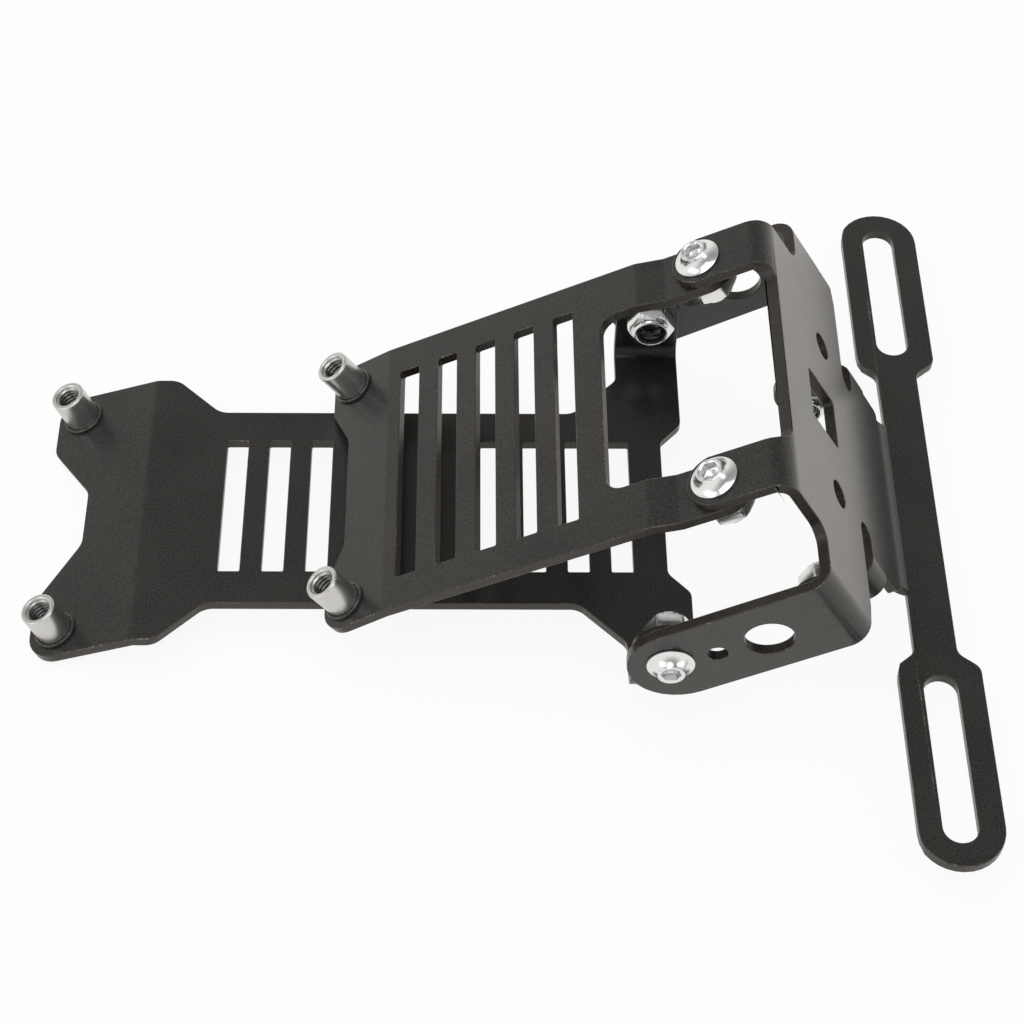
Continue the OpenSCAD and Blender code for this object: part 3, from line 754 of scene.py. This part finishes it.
def makeNut(name, place, nodeName):
    # washer face, hexagon with its corners turned down at both ends, domed collar and pocket
    n = nut
    six = hexagon(n["flats"], n["rounding"])
    reach = (six - n["face"]) / (six.max() - n["face"])
    top = n["height"]
    body = top - n["collar"]
    domeStart = (n["domeStart"][0], body + n["domeStart"][1])
    domeEnd = (n["domeEnd"][0], top + n["domeEnd"][1])
    parts = [
        rings(n["boreEdge"], n["bore"]),
        rings([n["faceEdge"], (0.0, 0.02)], n["face"]),
        *[ring(six - inward, up + more * reach) for inward, up, more in n["lowTurn"]],
        ring(six, body / 2),
        *[ring(six - inward, body - down - more * reach) for inward, down, more in n["highTurn"]],
        ring(n["face"], body - 0.02),
        rings(n["shoulder"], 0.0, body),
        rings(arc(domeStart, domeEnd, n["domeSag"], 9)),
        rings(n["lip"], 0.0, top),
        rings(n["pocketFloor"], 0.0, body),
    ]
    return turnedPiece(name, parts, place, "stainless", nodeName, closed=True)


insert = {
    "low": 4.62,
    "high": 5.69,
    "inner": 3.06,
    "outer": 3.52,
    "innerLow": ((0.0, 0.1), (0.05, 0.0)),
    "outerLow": ((-0.03, 0.0), (0.0, 0.04)),
    "outerHigh": ((0.0, -0.06), (-0.05, 0.0)),
    "innerHigh": ((0.16, 0.0), (0.05, -0.05), (0.0, -0.18)),
}


def makeInsert(name, place, nodeName):
    # nylon ring: flat below, rounded where it bulges round the screw
    i = insert
    parts = [rings(i["innerLow"], i["inner"], i["low"]), rings(i["outerLow"], i["outer"], i["low"]),
             rings(i["outerHigh"], i["outer"], i["high"]), rings(i["innerHigh"], i["inner"], i["high"])]
    return turnedPiece(name, parts, place, "nylon", nodeName, closed=True)


standoff = {
    "radius": 4.1,
    "length": 9.0,
    "foot": 3.5,
    "sheet": 2.5,
    "crest": 2.5,
    "root": 2.98,
    "pitch": 1.0,
    "fade": (0.35, 0.35),
    "threadInset": 0.3,
    "footMouth": (0.3, 0.02),  # from the crest and the foot's end
    "footEdge": ((-0.12, 0.0), (0.0, 0.12)),
    "footTop": ((0.0, -0.02), (0.0, 0.0)),
    "seatEdge": ((-0.08, 0.0), (0.0, 0.08)),
    "topEdge": ((0.0, -0.5), (-0.03, -0.28), (-0.12, -0.12), (-0.28, -0.02), (-0.42, 0.0)),
    "mouth": ((3.32, 0.0), (3.20, -0.03), (3.06, -0.16)),
}


def makeStandoff(name, place, nodeName):
    # tube with a foot through the sheet, a rounded mouth and a thread all the way through
    s = standoff
    top, end = s["length"], -s["sheet"]
    parts = [
        rings([s["footMouth"]], s["crest"], end),
        rings(s["footEdge"], s["foot"], end),
        rings(s["footTop"], s["foot"]),
        rings(s["seatEdge"], s["radius"]),
        rings(s["topEdge"], s["radius"], top),
        rings(s["mouth"], 0.0, top),
        thread(top - s["threadInset"], end + s["threadInset"], s["root"], s["crest"], s["pitch"], *s["fade"]),
    ]
    return turnedPiece(name, parts, place, "zincSteel", nodeName, closed=True)


lipRing = {
    "outline": ((4.13, 0.0), (4.9, 0.0), (4.9, 0.42), (4.86, 0.58), (4.76, 0.71),
                (4.62, 0.79), (4.46, 0.8), (4.34, 0.78), (4.22, 0.70), (4.14, 0.55)),
}


def makeRing(name, place, nodeName):
    # the rim that stands up round the foot of a standoff
    parts = [rings(lipRing["outline"])]
    return turnedPiece(name, parts, place, "darkRing", nodeName, closed=True)


sides = {"near": -1, "far": 1}
screwLength = {"tab": 9.0, "pivot": 8.7, "ear": 7.4}
seats = {"tab": tabSeat, "pivot": pivotSeat, "ear": earSeat}

for sideName, side in sides.items():
    for plate in tabs:
        place = standoffSeat(plate, side)
        makeStandoff(f"{plate}_standoff_{sideName}_turned", place, f"{plate}_standoff_{sideName}")
        makeRing(f"{plate}_ring_{sideName}_turned", place, f"{plate}_ring_{sideName}")
    for spot, find in seats.items():
        head, under = find(side, "head"), find(side, "nut")
        makeScrew(f"{spot}_screw_{sideName}_turned", screwLength[spot], head, f"{spot}_screw_{sideName}")
        makeNut(f"{spot}_nut_{sideName}_turned", under, f"{spot}_nut_{sideName}")
        makeInsert(f"{spot}_insert_{sideName}_turned", under, f"{spot}_insert_{sideName}")
print("standoffs, rings, screws, nuts and inserts turned")


# floor, light and camera

studio = {
    "floorDrop": 0.4,
    "floorSize": 6.0,
    "floorTone": 0.86,
    "floorCloud": 180.0,
    "cloudShare": 0.04,
    "cloudTone": 0.97,
    "glow": 0.92,
    "world": 0.62,
    "overhead": 0.36,
    "fallFrom": 0.15,
    "fallTo": 0.85,
    "warm": (1.0, 0.965, 0.92),
    "white": (1.0, 1.0, 1.0),
}


def makeFloor():
    # pale floor: part of its white is its own, the rest is lit and so carries the shadow
    low = cadBox[0][2] - studio["floorDrop"] * mm
    half = studio["floorSize"] / 2
    mesh = bpy.data.meshes.new("floor")
    corners = [(-half, -half, low), (half, -half, low), (half, half, low), (-half, half, low)]
    mesh.from_pydata(corners, [], [(0, 1, 2, 3)])
    finish = newFinish("paleFloor")
    cloud = finish.noise(finish.coords(), studio["floorCloud"], 2.0)
    pale = (studio["floorTone"],) * 3
    dim = (studio["floorTone"] * studio["cloudTone"],) * 3
    tone = finish.blend(cloud * studio["cloudShare"], pale, dim)
    lit = finish.node("ShaderNodeBsdfDiffuse", {}, {"Color": tone})
    seen = finish.lightPath("Is Camera Ray")
    hue = finish.blend(seen, studio["warm"], studio["white"])
    glow = finish.node("ShaderNodeEmission", {}, {"Color": hue, "Strength": 1.0})
    shine = finish.lightPath("Is Glossy Ray")
    white = finish.capped(seen + shine, finish.lightPath("Is Transmission Ray"))
    mixed = finish.node("ShaderNodeMixShader", {}, {0: white * studio["glow"], 1: lit, 2: glow})
    finish.node("ShaderNodeOutputMaterial", {}, {"Surface": mixed})
    mesh.materials.append(finish.owner)
    floor = bpy.data.objects.new("floor", mesh)
    bpy.context.scene.collection.objects.link(floor)


def makeWorld():
    # white backdrop to the eye; in the light and in reflections it is darker overhead
    world = bpy.data.worlds.new("studio")
    bpy.context.scene.world = world
    finish = Finish(world)
    up = finish.part(finish.node("ShaderNodeTexCoord", {}, {}, "Generated"), "Z")
    fall = finish.node("ShaderNodeMapRange", {"clamp": True, "interpolation_type": "SMOOTHSTEP"},
                       {0: up, 1: studio["fallFrom"], 2: studio["fallTo"], 3: 1.0, 4: studio["overhead"]})
    seen = finish.lightPath("Is Camera Ray")
    mirrored = finish.capped(finish.lightPath("Is Glossy Ray"), finish.lightPath("Is Transmission Ray"))
    level = seen + (1 - seen) * (mirrored * fall + (1 - mirrored) * studio["world"])
    hue = finish.blend(seen, studio["warm"], studio["white"])
    back = finish.node("ShaderNodeBackground", {}, {"Color": hue, "Strength": level})
    finish.node("ShaderNodeOutputWorld", {}, {"Surface": back})


lamps = {
    "overheadSoftbox": {"at": (-0.30, -0.10, 0.98), "to": (-0.06, 0.0, 0), "size": (0.9, 0.6), "power": 3.6},
    "leftSoftbox": {"at": (-0.95, -0.45, 0.55), "to": (-0.10, 0.0, 0.02), "size": (0.5, 0.8), "power": 1.7},
    "rightSoftbox": {"at": (0.85, -0.35, 0.50), "to": (-0.02, 0.0, 0.02), "size": (0.4, 0.8), "power": 1.4},
}


def makeLamps():
    for name, lamp in lamps.items():
        data = bpy.data.lights.new(name, "AREA")
        data.shape = "RECTANGLE"
        data.size, data.size_y = lamp["size"]
        data.energy = lamp["power"]
        made = bpy.data.objects.new(name, data)
        made.location = lamp["at"]
        made.rotation_euler = (Vector(lamp["to"]) - Vector(lamp["at"])).to_track_quat("-Z", "Y").to_euler()
        bpy.context.scene.collection.objects.link(made)


camera = {
    "at": (-0.103818, -0.347525, 0.440802),
    "right": (0.9999212, -0.0048414, 0.0115827),
    "up": (-0.0034049, 0.7834683, 0.6214224),
    "back": (-0.0120832, -0.6214129, 0.7833901),
    "sensor": 36,
    "lens": 84.70,
    "shift": (0.01185, -0.01340),
    "clip": (0.01, 20),
}


def makeCamera():
    data = bpy.data.cameras.new("camera")
    data.sensor_width = camera["sensor"]
    data.lens = camera["lens"]
    data.shift_x, data.shift_y = camera["shift"]
    data.clip_start, data.clip_end = camera["clip"]
    made = bpy.data.objects.new("camera", data)
    turn = Matrix((camera["right"], camera["up"], camera["back"])).transposed()
    made.matrix_world = Matrix.Translation(camera["at"]) @ turn.to_4x4()
    bpy.context.scene.collection.objects.link(made)
    bpy.context.scene.camera = made


makeFloor()
makeWorld()
makeLamps()
makeCamera()
bpy.context.scene.view_settings.view_transform = "Standard"
print("floor, light and camera set")
